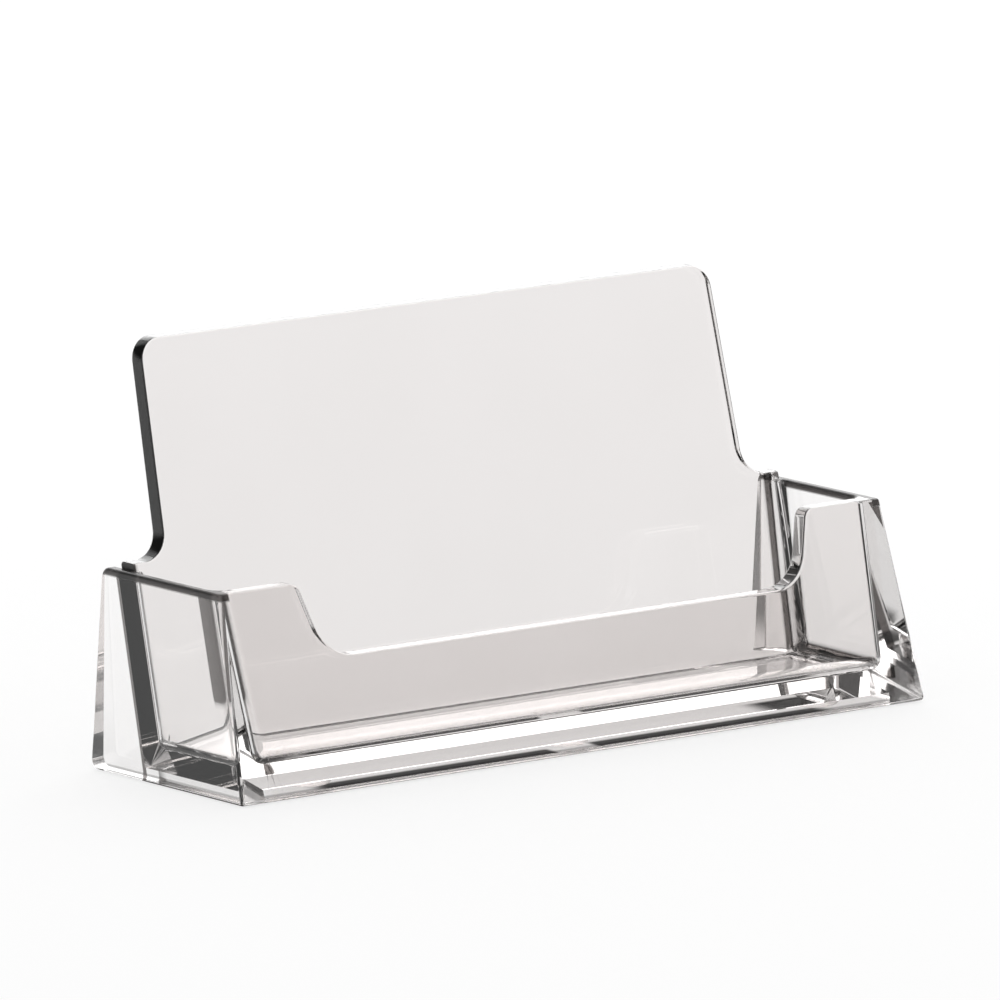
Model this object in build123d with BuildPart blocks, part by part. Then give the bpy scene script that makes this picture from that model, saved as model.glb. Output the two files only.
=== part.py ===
"""Clear desk holder for business cards: clear panels cemented together, standing on three small pads.

The form is worked out whole, then cut at its seams into the panels. Millimetres and degrees, +Z up,
+X across the holder, the open front towards -Y, the origin on the table under the middle of the holder.
"""

from build123d import *
import os
from math import radians, tan

# Overall sizes
holder_width = 98.4  # across the feet of the side panels
holder_height = 47.6  # from the table to the top of the back panel
side_wing = 2.4  # how far the side panels run on behind the back panel, at their top
side_height = 22.8  # from the table to the top of the side panels and the ears
pocket_depth = 15.0  # room for the cards, front to rear at the floor
front_lean = 15.6  # the front panel's outer face, from upright
back_lean = 14.1  # the back panel's front face, from upright
side_flare = 4.2  # the side panels' outer faces, wider at the foot

# Wall thicknesses, measured level: each wall is drafted, thicker at its foot
front_foot_thickness = 2.5
front_top_thickness = 2.2
back_foot_thickness = 2.6
back_top_thickness = 2.2
side_foot_thickness = 4.2
side_top_thickness = 1.1
floor_thickness = 2.3
floor_rise = 0.9  # room under the floor, which the pads fill

# Front panel: a wide finger notch between two ears
notch_depth = 8.4  # from the top of the side panels down to the lip
ear_width = 11.0  # across the top of an ear, from the outside of the holder, before its corner is rounded
notch_flare = 16.8  # the notch's ends, from upright
notch_round = 5.1  # where the lip sweeps up into the ears
ear_round = 1.5  # the ears' inner top corners

# Back panel: narrower above the side panels, with swept shoulders
shoulder_inset = 4.7  # from the inside of a side panel to the edge of the back panel, at the shoulder
top_inset = 5.5  # the same at the top, so that the panel narrows upwards
shoulder_step = 0.8  # from the top of the side panels up to the foot of the sweep
shoulder_round = 3.2
top_round = 2.7

# Edges and corners
edge_round = 0.4  # free edges
corner_round = 0.5  # upright front corners of the side panels
rear_round = 1.2  # rear corners of the side panels, seen from the side
pocket_cove = 1.6  # inside corners of the pocket
seam_clearance = 0.2  # from the end of a cove to the seam

# Pads under the floor
pad_diameter = 6.0
pad_inset = 12.6  # from the outside of the holder to an outer pad's centre
pad_setback = 6.0  # from the front panel's foot to the pads' centres
pad_bevel = 0.2

# One overrun for everything that cuts right through, and how near counts as the same place
overrun = 5.0
near = 0.02

floor_top = floor_rise + floor_thickness
lip_height = side_height - notch_depth
shoulder_height = side_height + shoulder_step
pad_x = holder_width / 2 - pad_inset
side_seam_inset = pocket_cove + seam_clearance
# A cove reaches further along the floor in a corner narrower than a right angle
floor_seam_inset = pocket_cove / tan(radians(90 - front_lean) / 2) + seam_clearance


def wall(foot, top, height, z):
    """Level thickness of a drafted wall at height z."""
    return foot + (top - foot) * z / height


def front_run(z):
    """Setback of the front panel's inner face from its foot line."""
    return z * tan(radians(front_lean)) + wall(front_foot_thickness, front_top_thickness, side_height, z)


def back_run(z):
    """Setback of the back panel's front face."""
    return front_run(floor_top) + pocket_depth + (z - floor_top) * tan(radians(back_lean))


def rear_run(z):
    """Setback of the back panel's rear face."""
    return back_run(z) + wall(back_foot_thickness, back_top_thickness, holder_height, z)


side_depth = rear_run(side_height) + side_wing
holder_depth = max(side_depth, rear_run(holder_height))
front_y = -holder_depth / 2
rear_y = front_y + side_depth


def front_outer(z):
    return front_y + z * tan(radians(front_lean))


def front_inner(z):
    return front_y + front_run(z)


def back_front(z):
    return front_y + back_run(z)


def back_rear(z):
    return front_y + rear_run(z)


def side_outer(z):
    return holder_width / 2 - z * tan(radians(side_flare))


def side_inner(z):
    return side_outer(z) - wall(side_foot_thickness, side_top_thickness, side_height, z)


def notch_half(z):
    return side_outer(side_height) - ear_width + (z - side_height) * tan(radians(notch_flare))


def across(*points):
    """An outline in the front view, given for the right half and repeated on the left."""
    return [*points, *((-x, z) for x, z in reversed(points))]


def same(value, wanted):
    return abs(value - wanted) < near


def level(edge):
    return same(edge.bounding_box().size.Z, 0)


def top_edges(builder):
    """The edges in the level top of the side panels and the ears."""
    return builder.edges().filter_by(lambda edge: same(edge.center().Z, side_height) and level(edge))


core_top = side_height + overrun
core_foot = -overrun

# The pocket, as the solid that fills it
with BuildPart() as pocket_core:
    with BuildSketch(Plane.YZ):
        with BuildLine():
            Polyline(
                (front_inner(floor_top), floor_top),
                (back_front(floor_top), floor_top),
                (back_front(core_top), core_top),
                (front_inner(core_top), core_top),
                close=True,
            )
        make_face()
    extrude(amount=holder_width, both=True)
    with BuildSketch(Plane.XZ):
        with BuildLine():
            Polyline(
                *across((side_inner(floor_top), floor_top), (side_inner(core_top), core_top)),
                close=True,
            )
        make_face()
    extrude(amount=holder_depth, both=True, mode=Mode.INTERSECT)
    fillet(pocket_core.edges().sort_by(Axis.Z)[:-4], pocket_cove)

# The open space behind the back panel, between the side panels
with BuildPart() as rear_core:
    with BuildSketch(Plane.YZ):
        with BuildLine():
            Polyline(
                (back_rear(core_foot), core_foot),
                (rear_y + overrun, core_foot),
                (rear_y + overrun, core_top),
                (back_rear(core_top), core_top),
                close=True,
            )
        make_face()
    extrude(amount=holder_width, both=True)
    with BuildSketch(Plane.XZ):
        with BuildLine():
            Polyline(
                *across((side_inner(core_foot), core_foot), (side_inner(core_top), core_top)),
                close=True,
            )
        make_face()
    extrude(amount=holder_depth, both=True, mode=Mode.INTERSECT)

# The back panel before the form is hollowed out
with BuildPart() as back_blank:
    with BuildSketch(Plane.YZ):
        with BuildLine():
            Polyline(
                (back_front(floor_rise), floor_rise),
                (back_rear(floor_rise), floor_rise),
                (back_rear(holder_height), holder_height),
                (back_front(holder_height), holder_height),
                close=True,
            )
        make_face()
    extrude(amount=holder_width, both=True)
    with BuildSketch(Plane.XZ):
        with BuildLine():
            FilletPolyline(
                *across(
                    (side_inner(floor_rise), floor_rise),
                    (side_inner(side_height), side_height),
                    (side_inner(side_height), shoulder_height),
                    (side_inner(side_height) - shoulder_inset, shoulder_height),
                    (side_inner(side_height) - top_inset, holder_height),
                ),
                radius=[0, 0, 0, shoulder_round, top_round, top_round, shoulder_round, 0, 0, 0],
                close=True,
            )
        make_face()
    extrude(amount=holder_depth, both=True, mode=Mode.INTERSECT)

# The room under the floor, from the front panel's inner face to the open rear
with BuildPart() as under_core:
    with BuildSketch(Plane.YZ):
        with BuildLine():
            Polyline(
                (front_inner(core_foot), core_foot),
                (rear_y + overrun, core_foot),
                (rear_y + overrun, floor_rise),
                (front_inner(floor_rise), floor_rise),
                close=True,
            )
        make_face()
    extrude(amount=holder_width, both=True)
    with BuildSketch(Plane.XZ):
        with BuildLine():
            Polyline(
                *across((side_inner(core_foot), core_foot), (side_inner(floor_rise), floor_rise)),
                close=True,
            )
        make_face()
    extrude(amount=holder_depth, both=True, mode=Mode.INTERSECT)

# The whole form
with BuildPart() as form:
    # Solid block inside the outer faces of the front and the side panels
    with BuildSketch(Plane.YZ):
        with BuildLine():
            FilletPolyline(
                (front_outer(0), 0),
                (rear_y, 0),
                (rear_y, side_height),
                (front_outer(side_height), side_height),
                radius=[0, rear_round, rear_round, 0],
                close=True,
            )
        make_face()
    extrude(amount=holder_width, both=True)
    with BuildSketch(Plane.XZ):
        with BuildLine():
            Polyline(*across((side_outer(0), 0), (side_outer(side_height), side_height)), close=True)
        make_face()
    extrude(amount=holder_depth, both=True, mode=Mode.INTERSECT)
    corners = form.faces().sort_by(Axis.Y)[0].edges().filter_by(Axis.X, reverse=True)
    fillet(corners, corner_round)

    # Back panel, then the pocket, the open rear and the room under the floor
    add(back_blank.part)
    add(pocket_core.part, mode=Mode.SUBTRACT)
    add(rear_core.part, mode=Mode.SUBTRACT)
    add(under_core.part, mode=Mode.SUBTRACT)

    # Finger notch, which sweeps up from the lip and rounds the ears' inner top corners
    with BuildSketch(Plane.XZ.offset(-front_inner(side_height))):
        with BuildLine():
            FilletPolyline(
                *across(
                    (notch_half(lip_height), lip_height),
                    (notch_half(side_height), side_height),
                    (notch_half(side_height) + ear_round, side_height),
                    (notch_half(side_height) + ear_round, core_top),
                ),
                radius=[notch_round, ear_round, 0, 0, 0, 0, ear_round, notch_round],
                close=True,
            )
        make_face()
    extrude(amount=holder_depth, mode=Mode.SUBTRACT)

    # Free edges: the outline of the back panel, then the rims of the pocket, inner and outer
    panel_faces = form.faces().filter_by(GeomType.PLANE).sort_by(SortBy.AREA)[-2:]
    panel_outline = panel_faces.edges().filter_by(lambda edge: edge.center().Z > shoulder_height - near)
    fillet(panel_outline, edge_round)
    ear_inside = top_edges(form).filter_by(lambda edge: same(edge.center().Y, front_inner(side_height)))
    fillet(ear_inside, edge_round)
    ear_outside = top_edges(form).filter_by(lambda edge: same(edge.center().Y, front_outer(side_height)))
    fillet(ear_outside, edge_round)

# Seams: each one runs parallel to an inside face, just past the cove in its corner
right_seam = Plane(
    origin=(side_inner(0) - side_seam_inset, 0, 0),
    z_dir=(side_height, 0, side_inner(0) - side_inner(side_height)),
)
left_seam = Plane(
    origin=(side_seam_inset - side_inner(0), 0, 0),
    z_dir=(-side_height, 0, side_inner(0) - side_inner(side_height)),
)
front_seam = Plane(
    origin=(0, front_inner(0) + floor_seam_inset, 0),
    z_dir=(0, -side_height, front_inner(side_height) - front_inner(0)),
)
back_seam = Plane(
    origin=(0, back_front(0) - floor_seam_inset, 0),
    z_dir=(0, side_height, back_front(0) - back_front(side_height)),
)

with BuildPart() as right_side_panel:
    add(form.part)
    split(bisect_by=right_seam, keep=Keep.TOP)

with BuildPart() as left_side_panel:
    add(form.part)
    split(bisect_by=left_seam, keep=Keep.TOP)

# What lies between the side panels: front panel, floor and back panel in one run
with BuildPart() as middle_run:
    add(form.part)
    split(bisect_by=right_seam, keep=Keep.BOTTOM)
    split(bisect_by=left_seam, keep=Keep.BOTTOM)

with BuildPart() as front_panel:
    add(middle_run.part)
    split(bisect_by=front_seam, keep=Keep.TOP)

with BuildPart() as back_panel:
    add(middle_run.part)
    split(bisect_by=back_seam, keep=Keep.TOP)

with BuildPart() as floor_panel:
    add(middle_run.part)
    split(bisect_by=front_seam, keep=Keep.BOTTOM)
    split(bisect_by=back_seam, keep=Keep.BOTTOM)

# Pads: three discs that fill the room between the floor and the table
with BuildPart() as middle_pad:
    with BuildSketch(Plane.XY):
        with Locations((0, front_y + pad_setback)):
            Circle(pad_diameter / 2)
    extrude(amount=floor_rise)
    chamfer(middle_pad.edges().sort_by(Axis.Z)[0], pad_bevel)

with BuildPart() as right_pad:
    with Locations((pad_x, 0)):
        add(middle_pad.part)

with BuildPart() as left_pad:
    with Locations((-pad_x, 0)):
        add(middle_pad.part)

os.makedirs("parts", exist_ok=True)

front_panel.part.label = "front_panel"
export_step(front_panel.part, "parts/front_panel.step")

back_panel.part.label = "back_panel"
export_step(back_panel.part, "parts/back_panel.step")

left_side_panel.part.label = "left_side_panel"
export_step(left_side_panel.part, "parts/left_side_panel.step")

right_side_panel.part.label = "right_side_panel"
export_step(right_side_panel.part, "parts/right_side_panel.step")

floor_panel.part.label = "floor_panel"
export_step(floor_panel.part, "parts/floor_panel.step")

left_pad.part.label = "left_pad"
export_step(left_pad.part, "parts/left_pad.step")

middle_pad.part.label = "middle_pad"
export_step(middle_pad.part, "parts/middle_pad.step")

right_pad.part.label = "right_pad"
export_step(right_pad.part, "parts/right_pad.step")
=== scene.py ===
# %% [markdown]
# # A clear card holder for a desk
#
# The real thing is a small stand of clear plastic that holds business cards upright: a tall leaning
# back, a low leaning front with a wide finger notch, two end walls that spread towards the table, a
# floor, and three soft round pads under it. Nothing on it is coloured. All that the eye gets is what
# the plastic does with light, so this lesson is mostly about clear shapes and clean surroundings.
#
# The measured part is loaded first, as a fixed frame.

# %% Load the measured part
import math

import bmesh
import bpy
import numpy as np
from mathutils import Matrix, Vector


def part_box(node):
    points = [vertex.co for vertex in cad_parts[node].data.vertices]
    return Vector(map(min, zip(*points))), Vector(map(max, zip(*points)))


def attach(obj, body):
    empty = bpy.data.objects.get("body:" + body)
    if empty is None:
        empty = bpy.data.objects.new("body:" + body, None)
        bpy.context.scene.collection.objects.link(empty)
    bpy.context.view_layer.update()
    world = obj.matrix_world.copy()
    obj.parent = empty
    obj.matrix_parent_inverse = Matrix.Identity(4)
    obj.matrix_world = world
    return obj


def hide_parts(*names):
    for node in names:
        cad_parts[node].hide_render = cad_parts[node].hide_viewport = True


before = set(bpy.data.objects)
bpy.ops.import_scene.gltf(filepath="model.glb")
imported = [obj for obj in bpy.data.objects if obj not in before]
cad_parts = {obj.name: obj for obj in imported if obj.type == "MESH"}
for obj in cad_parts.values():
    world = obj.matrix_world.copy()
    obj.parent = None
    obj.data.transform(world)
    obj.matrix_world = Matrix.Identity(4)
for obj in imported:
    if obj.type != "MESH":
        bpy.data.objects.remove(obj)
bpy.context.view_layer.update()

MM = 0.001
print("nodes:", sorted(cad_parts))

# %% [markdown]
# ## Writing shaders as sums
#
# A finish is a small calculation: a little more haze here, a little less gloss there. Nodes could be
# placed and linked one at a time, but then the sum is hard to read. Here a socket is wrapped in a small
# class, so that 1 - mask or 0.02 + 0.1 * scratches adds the Math nodes by itself. Every other kind of
# node comes from one method, which sets the node's own settings first and its sockets after that.

# %% A socket that can be added and multiplied
class Wire:
    """One socket in a node tree. Sums, differences and products of wires add Math nodes."""

    def __init__(self, tree, socket=None):
        self.tree = tree
        self.socket = socket

    def node(self, kind, settings=None, sockets=None, out=0):
        """Adds one node: its settings, then a number, a colour or a wire for each socket."""
        made = self.tree.nodes.new("ShaderNode" + kind)
        for name, value in (settings or {}).items():
            setattr(made, name, value)
        for name, value in (sockets or {}).items():
            if isinstance(value, Wire):
                self.tree.links.new(value.socket, made.inputs[name])
            else:
                made.inputs[name].default_value = value
        return Wire(self.tree, made.outputs[out] if made.outputs else None)

    def _math(self, operation, first, second):
        return self.node("Math", {"operation": operation}, {0: first, 1: second})

    def __add__(self, other):
        return self._math("ADD", self, other)

    def __sub__(self, other):
        return self._math("SUBTRACT", self, other)

    def __rsub__(self, other):
        return self._math("SUBTRACT", other, self)

    def __mul__(self, other):
        return self._math("MULTIPLY", self, other)

    __radd__ = __add__
    __rmul__ = __mul__

    def size(self):
        """The value without its sign."""
        return self.node("Math", {"operation": "ABSOLUTE"}, {0: self})

    def ramp(self, start, full):
        """0 at start, 1 at full, and a smooth change between. It falls where full is the lower one."""
        return self.node(
            "MapRange",
            {"interpolation_type": "SMOOTHSTEP"},
            {"Value": self, "From Min": start, "From Max": full},
        )

    def band(self, low, full_low, full_high, high):
        """1 from full_low to full_high, falling smoothly to 0 at low and at high."""
        return self.ramp(low, full_low) * self.ramp(high, full_high)

    def tone(self, first, second):
        """The colour first where this wire is 0, second where it is 1, and a mix between."""
        return self.node("Mix", {"data_type": "RGBA"}, {"Factor": self, "A": first, "B": second}, out=2)


def blank_tree(owner):
    """Empties the node tree of a material or a world and returns it as a wire to build on."""
    owner.use_nodes = True
    owner.node_tree.nodes.clear()
    return Wire(owner.node_tree)


print("the shader class is ready")

# %% [markdown]
# ## The clear moulding
#
# On the real holder the walls and the floor run into each other with no seam that can be seen. The five
# measured panels have the right shape, but where two of them meet, each has a face of its own. Clear
# plastic shows such hidden faces as mirrors. The panels could be remodelled as one grid surface, but
# the notch, the ears and the rounded inner corners are all there already. So copies of the panels are
# merged and joined into one closed skin, and the faces inside the joints go.

# %% Merge the copies and join them
PANELS = ("back_panel", "front_panel", "left_side_panel", "right_side_panel", "floor_panel")
WELD = 0.002 * MM


def merged_copy(name):
    """A copy of one panel whose loose triangles are merged into a closed skin."""
    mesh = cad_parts[name].data.copy()
    skin = bmesh.new()
    skin.from_mesh(mesh)
    bmesh.ops.remove_doubles(skin, verts=skin.verts, dist=WELD)
    skin.to_mesh(mesh)
    skin.free()
    mesh.materials.clear()
    copy = bpy.data.objects.new(name + "_copy", mesh)
    bpy.context.scene.collection.objects.link(copy)
    return copy


def joined(parts):
    """The parts as one mesh: each in turn is joined to the first, and inner faces are dropped."""
    whole = parts[0]
    for part in parts[1:]:
        join = whole.modifiers.new("join_" + part.name, "BOOLEAN")
        join.operation = "UNION"
        join.solver = "MANIFOLD"
        join.object = part
    graph = bpy.context.evaluated_depsgraph_get()
    mesh = bpy.data.meshes.new_from_object(whole.evaluated_get(graph))
    for part in parts:
        bpy.data.objects.remove(part)
    return mesh


moulding_mesh = joined([merged_copy(name) for name in PANELS])
print("joined skin:", len(moulding_mesh.vertices), "points,", len(moulding_mesh.polygons), "faces")

# %% [markdown]
# Where two panels touch face to face, a join can leave thin shells behind in the seam. They could be
# picked out by hand, but the holder's skin is by far the largest shell, so that one is kept and the
# rest goes. A closed skin has no open edges, and clear plastic needs that: a ray that gets in has to
# get out. Edges that turn sharply stay sharp, and the strips of a rounded edge are shaded as one.

# %% Keep the outer skin and count its open edges
SOFT = math.radians(28.0)


def outer_faces(skin):
    """The faces of the largest connected shell: a count spreads from face to face over shared edges."""
    waiting = set(skin.faces)
    largest = set()
    while waiting:
        shell = set()
        front = {waiting.pop()}
        while front:
            shell |= front
            front = {f for face in front for edge in face.edges for f in edge.link_faces} - shell
        waiting -= shell
        largest = max(largest, shell, key=len)
    return largest


skin = bmesh.new()
skin.from_mesh(moulding_mesh)
bmesh.ops.delete(skin, geom=list(set(skin.faces) - outer_faces(skin)), context="FACES")
bmesh.ops.triangulate(skin, faces=skin.faces)
open_edges = sum(not edge.is_manifold for edge in skin.edges)
for face in skin.faces:
    face.smooth = True
for edge in skin.edges:
    edge.smooth = edge.calc_face_angle(0.0) < SOFT
skin.to_mesh(moulding_mesh)
skin.free()
moulding_mesh.name = "clear_moulding"
moulding_mesh.materials.clear()
moulding_mesh.polygons.foreach_set("material_index", np.zeros(len(moulding_mesh.polygons), np.int32))
moulding = bpy.data.objects.new("clear_moulding", moulding_mesh)
bpy.context.scene.collection.objects.link(moulding)
print("outer skin:", len(moulding_mesh.polygons), "faces,", open_edges, "open edges")

# %% [markdown]
# A rounded edge is a few narrow strips. If a broad flat face shared its shading with them, the whole
# flat would look bowed, and a bowed clear wall bends what is seen through it. Normals weighted by face
# area keep each flat truly flat and let only the narrow strips turn.

# %% Keep the flats flat
LARGEST_LEADS = 100

weigh = moulding.modifiers.new("flat_faces_lead", "WEIGHTED_NORMAL")
weigh.mode = "FACE_AREA"
weigh.weight = LARGEST_LEADS
weigh.keep_sharp = True
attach(moulding, "root")
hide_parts(*PANELS)
print("moulding rides on root and stands for", len(PANELS), "panels")

# %% [markdown]
# ## The pads
#
# Three soft pads lift the floor off the desk. Each is a drop of cast resin: flat where it sticks, a
# round shoulder, a slightly crowned foot. A sphere cut flat would be close, but the shoulder is what
# catches the light, so the outline is drawn as a curve and carried round a circle. A hair of air is
# left above each drop, because two clear faces in one place would show as a dark patch.

# %% Carry a pad's outline round a circle
PADS = ("left_pad", "middle_pad", "right_pad")
ROUND_STEPS = 64
OUTLINE_STEPS = 24
SHOULDER = 0.55
CROWN = 1.4
AIR = 0.01 * MM


def pad_surface(name):
    """A dome-shouldered disc: radius r(t) and height z(t) of an outline, turned through angle a.

    With t from 0 at the foot's middle to 1 at the lid's rim, r is the pad's radius times the sine of
    t quarter turns to the power SHOULDER, and z rises from the table to the floor's underside as
    1 minus the cosine of t quarter turns, to the power CROWN. A point is (r cos a, r sin a, z).
    """
    low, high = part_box(name)
    centre = (np.array(low) + np.array(high)) / 2
    radius = (high.x - low.x) / 2
    top = high.z - AIR
    quarter = np.linspace(0.0, 1.0, OUTLINE_STEPS) * math.pi / 2
    shoulder = np.sin(quarter) ** SHOULDER
    height = low.z + (top - low.z) * (1 - np.cos(quarter)) ** CROWN
    a = np.linspace(0.0, 2 * math.pi, ROUND_STEPS, endpoint=False)
    r, turn = np.meshgrid(radius * shoulder[1:], a, indexing="ij")
    z = np.repeat(height[1:, None], ROUND_STEPS, axis=1)
    rings = np.stack([centre[0] + r * np.cos(turn), centre[1] + r * np.sin(turn), z], axis=-1)
    foot = np.array([[centre[0], centre[1], low.z]])
    lid = np.array([[centre[0], centre[1], top]])
    return np.concatenate([foot, rings.reshape(-1, 3), lid])


def pad_faces():
    """Triangles at the foot and the lid, and a band of quads between each ring and the next."""
    rings = OUTLINE_STEPS - 1
    step = np.arange(ROUND_STEPS)
    after = (step + 1) % ROUND_STEPS
    base = 1 + np.arange(rings - 1)[:, None] * ROUND_STEPS
    above = base + ROUND_STEPS
    band = np.stack([base + step, base + after, above + after, above + step], -1)
    last = 1 + (rings - 1) * ROUND_STEPS
    foot = np.stack([np.zeros_like(step), 1 + after, 1 + step], -1)
    lid = np.stack([np.full_like(step, last + ROUND_STEPS), last + step, last + after], -1)
    return foot.tolist() + band.reshape(-1, 4).tolist() + lid.tolist()


def pad_piece(name):
    """One pad as its own piece, in the place of its node."""
    mesh = bpy.data.meshes.new(name + "_drop")
    mesh.from_pydata(pad_surface(name).tolist(), [], pad_faces())
    mesh.polygons.foreach_set("use_smooth", np.ones(len(mesh.polygons), bool))
    mesh.update()
    piece = bpy.data.objects.new(name + "_drop", mesh)
    bpy.context.scene.collection.objects.link(piece)
    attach(piece, "root")
    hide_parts(name)
    return piece


pads = [pad_piece(name) for name in PADS]
print("pads:", [piece.name for piece in pads], len(pads[0].data.polygons), "faces each")

# %% [markdown]
# ## The plastic
#
# Clear styrene bends light strongly and swallows a little of it, with a warm grey cast where the path
# is long. In the open walls the path is short. In the corners at the two ends the eye looks along the
# plastic instead of across it. There, on the rims of the end walls and at the feet, the plastic's colour
# carries painted shade: dark bands drawn into the tint, and a painted contact shadow along the feet.
# The masks could be drawn by hand, but each wall is a plain leaning plane: how far a point is from it
# is a short sum on Object coordinates, and a corner is where two such gaps are small at once.

# %% Gaps to the walls, and where two of them meet
SIDE_IN = (45.0 * MM, 0.0625)
FRONT_IN = (-13.35 * MM, 0.2660)
BACK_IN = (1.70 * MM, 0.2512)
BACK_OUT = (4.30 * MM, 0.2428)
FLOOR_TOP = 3.2 * MM
COVE = 1.6 * MM
REAR_LINE = 0.6 * MM
IN_THE_WALL = (-0.2 * MM, -0.1 * MM)
END_WALL = (0.2 * MM, 0.1 * MM)
MIDDLE = 1.0 * MM
STRIP_DEPTH = (0.0, 0.2 * COVE, 2.3 * MM, 2.7 * MM)
STRIP_REACH = 0.6 * COVE
STRIP_FOOT = (9.5 * MM, 11.5 * MM)
BACK_TOP = (16.0 * MM, 9.0 * MM)
RIM = (21.8 * MM, 22.1 * MM)
FEET = (0.35 * MM, 0.15 * MM)
BACK_SHARE, REAR_SHARE, FLOOR_SHARE = 0.4, 2.0, 1.5


def leaning(wall, z):
    """Where a wall's face is at height z: its place at the table plus its lean times the height."""
    return wall[0] + wall[1] * z


def close(gap, reach):
    """1 on a face, falling smoothly to 0 at reach in front of it, and 0 inside the wall."""
    return gap.ramp(reach, 0.0) * gap.ramp(*IN_THE_WALL)


def painted_shade_and_end_walls(across, y, z):
    """Four masks: painted shade in the end corners and on the rims of the end walls, a painted contact
    shadow at the feet, and the end walls themselves.

    A corner is the gap to a side wall times the gap to the front, the back or the floor. The front
    has a strip on the left wall alone, above its foot. The back's corner is dark only low down, the
    rear line behind the back runs all the way up, and the floor's corner stops where the pocket does.
    """
    side = leaning(SIDE_IN, z) - across.size()
    behind_front = y - leaning(FRONT_IN, z)
    before_back = leaning(BACK_IN, z) - y
    on_the_left = across.ramp(MIDDLE, -MIDDLE)
    strip = behind_front.band(*STRIP_DEPTH) * on_the_left
    front = strip * close(side, STRIP_REACH) * z.ramp(*STRIP_FOOT)
    back = close(before_back, COVE) * z.ramp(*BACK_TOP)
    rear = close(y - leaning(BACK_OUT, z), REAR_LINE)
    floor = close(z - FLOOR_TOP, COVE) * before_back.ramp(*IN_THE_WALL)
    along_side = BACK_SHARE * back + REAR_SHARE * rear + FLOOR_SHARE * floor
    # the corners' painted shade
    corners = front + close(side, COVE) * along_side
    ends = side.ramp(*END_WALL)
    # painted shade on the rims of the end walls, and a painted contact shadow at the feet
    rims = z.ramp(*RIM) * ends
    feet = z.ramp(*FEET)
    return corners, rims, feet, ends


print("the pocket's inner planes:", SIDE_IN, FRONT_IN, BACK_IN)

# %% [markdown]
# A plain glass shader would be too perfect: a moulded wall has a faint ripple where the melt ran, and
# handling leaves a haze of hair scratches. Both are made from noise on Object coordinates, in real
# sizes, one as a shallow bump and one as roughness. The painted shade turns the tint dark in the end
# corners and on the rims, and the painted contact shadow at the feet does too. The rims and feet,
# which are touched and rubbed most, are also a little rougher.

# %% Clear styrene
WALL_TINTS = (0.925, 0.900, 0.893, 1.0), (0.915, 0.890, 0.882, 1.0)
END_TONE = (0.985, 0.978, 0.975, 1.0)
# the dark colour of the painted shade, and how strongly it darkens the corners and, as a painted contact
# shadow, the feet
PAINTED_SHADE_TONE = (0.020, 0.017, 0.016, 1.0)
CORNER_SHADE_DEPTH, FEET_SHADOW_DEPTH = 2.2, 0.7
RIPPLE_SCALE, RIPPLE_SPREAD = 55.0, (0.3, 0.7)
RIPPLE_STRENGTH, RIPPLE_HEIGHT = 0.25, 0.02 * MM
HAIR_SCALE, HAIR_STRETCH, HAIR_SPREAD = 500.0, (1.0, 9.0, 9.0), (0.62, 0.78)
WORN_SCALE, WORN_SPREAD = 40.0, (0.50, 0.75)
GLOSS, SCRATCHED, SCUFFED_FEET, SCUFFED_RIMS = 0.004, 0.03, 0.1, 0.35
STYRENE_BEND = 1.58
BODY_COLOUR, BODY_DENSITY = (0.46, 0.42, 0.40, 1.0), 14.0


def object_place(tree):
    """The Object coordinates, which are metres in the shared frame, and their x, y and z."""
    place = tree.node("TexCoord", out="Object")
    return place, *(tree.node("SeparateXYZ", None, {0: place}, out=axis) for axis in range(3))


def clear_plastic():
    """Transmission with a slight tint, painted shade in corners, rims and feet, melt ripples as bump,
    scratches as roughness.
    """
    material = bpy.data.materials.new("clear_styrene")
    tree = blank_tree(material)
    place, x, y, z = object_place(tree)
    ripple = tree.node("TexNoise", None, {"Vector": place, "Scale": RIPPLE_SCALE, "Detail": 1.0})
    brushed = tree.node("Mapping", None, {"Vector": place, "Scale": HAIR_STRETCH})
    hairs = tree.node("TexNoise", None, {"Vector": brushed, "Scale": HAIR_SCALE, "Detail": 2.0})
    worn = tree.node("TexNoise", None, {"Vector": place, "Scale": WORN_SCALE, "Detail": 2.0})
    scratches = hairs.ramp(*HAIR_SPREAD) * worn.ramp(*WORN_SPREAD)
    corners, rims, feet, ends = painted_shade_and_end_walls(x, y, z)
    walls = ends.tone(ripple.ramp(*RIPPLE_SPREAD).tone(*WALL_TINTS), END_TONE)
    # painted shade in the corners and on the rims, and a painted contact shadow at the feet
    painted_shade_sum = CORNER_SHADE_DEPTH * corners + rims + FEET_SHADOW_DEPTH * feet
    bump = tree.node(
        "Bump", None, {"Strength": RIPPLE_STRENGTH, "Distance": RIPPLE_HEIGHT, "Height": ripple}
    )
    shader = tree.node(
        "BsdfPrincipled",
        None,
        {
            "Base Color": painted_shade_sum.tone(walls, PAINTED_SHADE_TONE),
            "Roughness": GLOSS + SCRATCHED * scratches + SCUFFED_FEET * feet + SCUFFED_RIMS * rims,
            "IOR": STYRENE_BEND,
            "Transmission Weight": 1.0,
            "Normal": bump,
        },
    )
    body = tree.node("VolumeAbsorption", None, {"Color": BODY_COLOUR, "Density": BODY_DENSITY})
    tree.node("OutputMaterial", None, {"Surface": shader, "Volume": body})
    return material


moulding.data.materials.append(clear_plastic())
print("the moulding is", moulding.data.materials[0].name)

# %% [markdown]
# The pads are soft milky resin. They spread the light that reaches them, so under the floor they read
# as pale round spots. A hard clear resin would bend it like a lens, so theirs barely bends it and is
# rough, like frosted jelly, with fine dust on top.

# %% Milky resin
RESIN_TONES = (0.97, 0.965, 0.96, 1.0), (0.90, 0.89, 0.88, 1.0)
DUST_SCALE, DUST_SPREAD = 1400.0, (0.5, 0.75)
DUST_STRENGTH, DUST_HEIGHT = 0.2, 0.02 * MM
FROSTED, DUSTY = 0.45, 0.15
RESIN_BEND = 1.1


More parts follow.
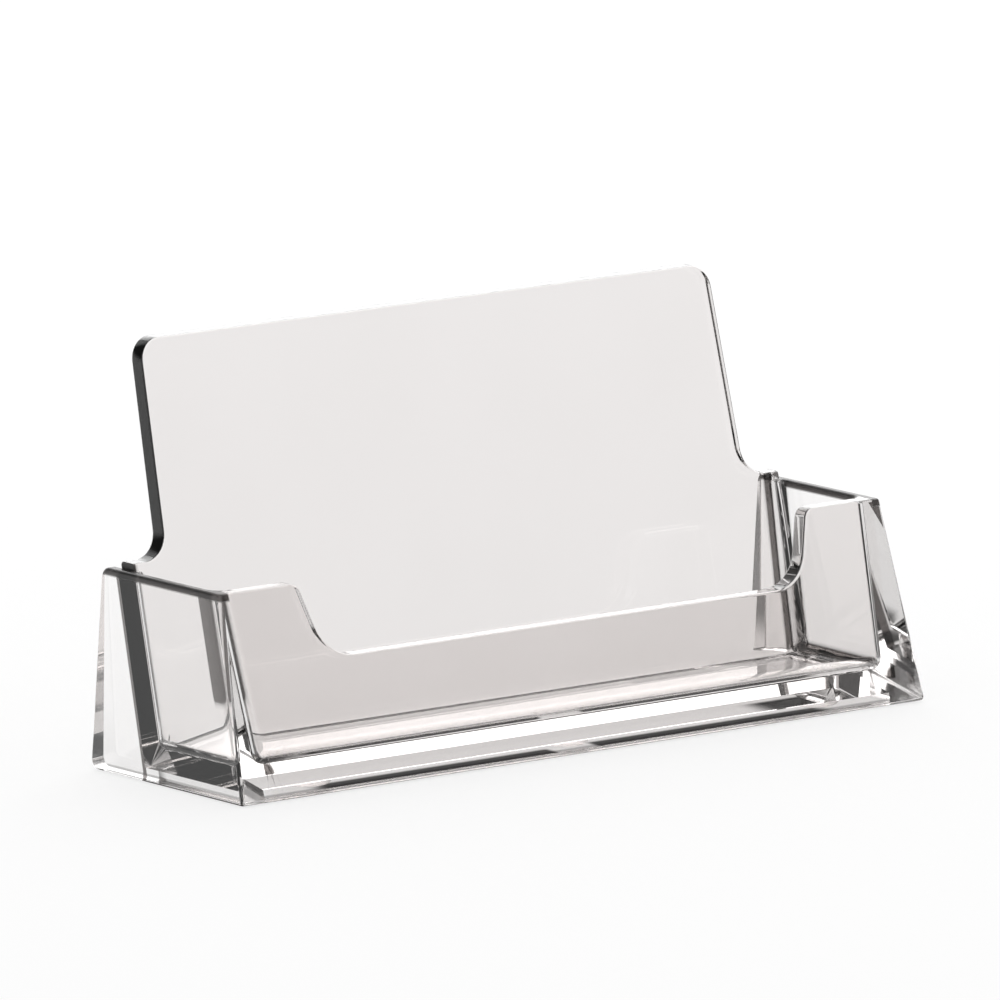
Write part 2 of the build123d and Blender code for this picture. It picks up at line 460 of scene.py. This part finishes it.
def milky_resin():
    """Rough transmission that hardly bends the light, with fine dust as colour, roughness and bump."""
    material = bpy.data.materials.new("milky_resin")
    tree = blank_tree(material)
    place = tree.node("TexCoord", out="Object")
    specks = tree.node("TexNoise", None, {"Vector": place, "Scale": DUST_SCALE, "Detail": 3.0})
    dust = specks.ramp(*DUST_SPREAD)
    bump = tree.node("Bump", None, {"Strength": DUST_STRENGTH, "Distance": DUST_HEIGHT, "Height": dust})
    shader = tree.node(
        "BsdfPrincipled",
        None,
        {
            "Base Color": dust.tone(*RESIN_TONES),
            "Roughness": FROSTED + DUSTY * dust,
            "IOR": RESIN_BEND,
            "Transmission Weight": 1.0,
            "Normal": bump,
        },
    )
    tree.node("OutputMaterial", None, {"Surface": shader})
    return material


resin = milky_resin()
for piece in pads:
    piece.data.materials.append(resin)
print("the pads are", resin.name)

# %% [markdown]
# ## The table and the light
#
# Clear things are photographed on white, in white: the background shows through the walls, and the
# edges stay dark because they send the eye round a corner to something that isn't white. The floor is
# one broad pale sheet just under the feet.

# %% A broad sheet under the feet
FLOOR_HALF = 3.0
FLOOR_DROP = 0.15 * MM

floor_mesh = bpy.data.meshes.new("table_sheet")
floor_corners = np.array([[-1, -1], [1, -1], [1, 1], [-1, 1]]) * FLOOR_HALF
floor_points = np.column_stack([floor_corners, np.full(4, -FLOOR_DROP)])
floor_mesh.from_pydata(floor_points.tolist(), [], [(0, 1, 2, 3)])
table_sheet = bpy.data.objects.new("table_sheet", floor_mesh)
bpy.context.scene.collection.objects.link(table_sheet)
print("floor:", table_sheet.name, 2 * FLOOR_HALF, "m wide")

# %% [markdown]
# Photographers lay black cards just outside the picture, where only the edges find them. Real sheets
# could lie there, but they would show in other views. Here the cards are soft patches of the floor,
# which only a ray that has bounced in the plastic sees: one beside the right end, and painted shade
# under the holder, one patch under the left end and two under the right. A thin strip just behind the
# front foot is painted shadow, the shade of the narrow gap under the floor, dark to every ray. Seen
# through the foot it draws the dark line along the base, with a gap at the middle pad.

# %% Dark cards, painted shade and painted shadow on the floor
CARD_BESIDE = (52, 60, 150, 200), (-45, -35, 20, 30)
# the patches under the ends are painted shade under the holder, seen by bounced rays
CARD_LEFT_END = (-54, -50, -40, -34), (-18, -16, 11, 12)
CARD_RIGHT_BASE = (36, 40, 49, 52), (7.5, 8.5, 11.5, 12.5)
CARD_RIGHT_REAR = (46, 48, 53, 56), (11, 13, 16, 20)
# the painted shadow strip behind the front foot, and how dark each kind is
FOOT_STRIP = (2.4, 3.4, 35, 38), (-14.0, -13.5, -11.0, -10.0)
BESIDE_DARK, UNDER_DARK, STRIP_DARK = 0.75, 0.92, 0.9
ONE_BOUNCE = (0.4, 0.6)


def bounced_rays(tree):
    """1 for a ray that has been mirrored at least once on its way, 0 for one that came straight."""
    return tree.node("LightPath", out="Glossy Depth").ramp(*ONE_BOUNCE)


def patch(x, y, card):
    """A soft rectangle: a band across times a band in depth, with the card's limits in millimetres."""
    across, deep = ([limit * MM for limit in limits] for limits in card)
    return x.band(*across) * y.band(*deep)


def cards_and_painted_shade(tree, x, y):
    """How dark the floor is: the card beside and the painted shade under the ends for bounced rays, plus
    the painted shadow strip, alike on left and right.
    """
    # painted shade under the ends, for bounced rays, and below it the painted shadow strip for every ray
    shade_under_ends = patch(x, y, CARD_LEFT_END) + patch(x, y, CARD_RIGHT_BASE) + patch(x, y, CARD_RIGHT_REAR)
    hidden = BESIDE_DARK * patch(x, y, CARD_BESIDE) + UNDER_DARK * shade_under_ends
    return bounced_rays(tree) * hidden + STRIP_DARK * patch(x.size(), y, FOOT_STRIP)


print("cards beside and under the ends, strip behind the foot from", FOOT_STRIP[1][0], "mm")

# %% [markdown]
# The sheet is white paper with a faint grain. Lit from above alone it would turn grey under the holder,
# so it mostly glows by itself, as on a light table, and the part that doesn't keeps the soft shadow.

# %% White paper that glows
def grey(level):
    """A neutral colour of one level."""
    return (level, level, level, 1.0)


GLOW = 0.75
PAPER_TONES = grey(0.955), grey(0.945)
GRAIN_SCALE = 300.0


def white_paper():
    """A mix of paper and glow, and of that and black where a card, painted shade or the painted shadow
    strip lies.
    """
    material = bpy.data.materials.new("white_paper")
    tree = blank_tree(material)
    place, x, y, _ = object_place(tree)
    grain = tree.node("TexNoise", None, {"Vector": place, "Scale": GRAIN_SCALE})
    shaded = tree.node("BsdfDiffuse", None, {"Color": grain.tone(*PAPER_TONES)})
    glowing = tree.node("Emission", None, {"Color": grey(1.0), "Strength": 1.0})
    sheet = tree.node("MixShader", None, {0: GLOW, 1: shaded, 2: glowing})
    black = tree.node("Emission", None, {"Color": grey(0.0), "Strength": 0.0})
    carded_and_shaded = tree.node("MixShader", None, {0: cards_and_painted_shade(tree, x, y), 1: sheet, 2: black})
    tree.node("OutputMaterial", None, {"Surface": carded_and_shaded})
    return material


floor_mesh.materials.append(white_paper())
print("the floor is", floor_mesh.materials[0].name)

# %% [markdown]
# The world is white to the camera and to whatever looks straight through the plastic. Bounced rays
# find it dimmer at the front and behind on the left, as in a room where the lamps shine on the backdrop
# and not on the photographer. The paper gets a little less of it than the eye sees, so that the lamp's
# shadow shows.

# %% White surroundings, dim where no lamp shines
FRONT_DIM = (0.71, -0.71, 0.2), 30.0, 55.0, 0.80
REAR_DIM = (-0.71, 0.71, 0.7), 18.0, 36.0, 0.75
OVERALL_DIM = 0.15
PAPER_DIM = 0.2


def dim_towards(tree, aim, inner, outer, amount):
    """How much the studio is dimmed towards aim: amount inside the inner angle, none past the outer."""
    direction = tree.node("TexCoord", out="Generated")
    along = tuple(Vector(aim).normalized())
    near = tree.node("VectorMath", {"operation": "DOT_PRODUCT"}, {0: direction, 1: along}, out=1)
    return amount * near.ramp(math.cos(math.radians(outer)), math.cos(math.radians(inner)))


world = bpy.data.worlds.new("white_studio")
bpy.context.scene.world = world
tree = blank_tree(world)
dimmed = OVERALL_DIM + dim_towards(tree, *FRONT_DIM) + dim_towards(tree, *REAR_DIM)
on_paper = tree.node("LightPath", out="Is Diffuse Ray")
strength = (1 - bounced_rays(tree) * dimmed) * (1 - PAPER_DIM * on_paper)
background = tree.node("Background", None, {"Color": grey(1.0), "Strength": strength})
tree.node("OutputWorld", None, {"Surface": background})
bpy.context.scene.view_settings.view_transform = "Standard"
print("world:", world.name)

# %% [markdown]
# One large soft lamp stands behind on the right. It gives the faint shadow that falls to the front and
# left, and a little more light to the rims that face it.

# %% One soft lamp, behind on the right
LAMP_AT = Vector((0.55, 0.55, 0.55))
LAMP_SIZE = 1.0
LAMP_POWER = 4.2

softbox = bpy.data.lights.new("softbox", "AREA")
softbox.shape = "DISK"
softbox.size = LAMP_SIZE
softbox.energy = LAMP_POWER
lamp = bpy.data.objects.new("softbox", softbox)
lamp.location = LAMP_AT
lamp.rotation_euler = LAMP_AT.to_track_quat("Z", "Y").to_euler()
bpy.context.scene.collection.objects.link(lamp)
print("lamp:", [round(v, 2) for v in LAMP_AT])

# %% [markdown]
# In the real plastic a ray can run on from face to face until it finds a way out. A render gives up
# after a few turns and draws black instead, which shows as hard lines along the corners. A few more
# turns let most of those rays out, at a small cost in time.

# %% Let a trapped ray turn more often
MIRROR_TURNS = 8
ALL_TURNS = 14

bpy.context.scene.cycles.glossy_bounces = MIRROR_TURNS
bpy.context.scene.cycles.max_bounces = ALL_TURNS
print("turns of a ray:", MIRROR_TURNS, "mirrored,", ALL_TURNS, "in all")

# %% [markdown]
# ## The camera
#
# The photograph was taken from a good distance with a long lens, a little from the left and a little
# from above: upright edges stay almost parallel. The angles below were found by laying the measured
# corners over the picture.

# %% Long lens, from the left and a little above
AIM = Vector((-1.04, -0.85, 26.904)) * MM
TURN = math.radians(-38.3566)
RISE = math.radians(10.4681)
AWAY = 1.8344
LENS = 585.4
SENSOR = 36.0
FARTHEST = 20.0

level = math.cos(RISE)
to_camera = Vector((math.sin(TURN) * level, -math.cos(TURN) * level, math.sin(RISE)))
lens = bpy.data.cameras.new("long_lens")
lens.sensor_width = SENSOR
lens.lens = LENS
lens.clip_end = FARTHEST
camera = bpy.data.objects.new("camera", lens)
camera.location = AIM + to_camera * AWAY
camera.rotation_euler = to_camera.to_track_quat("Z", "Y").to_euler()
bpy.context.scene.collection.objects.link(camera)
bpy.context.scene.camera = camera
print("camera:", [round(v, 3) for v in camera.location])
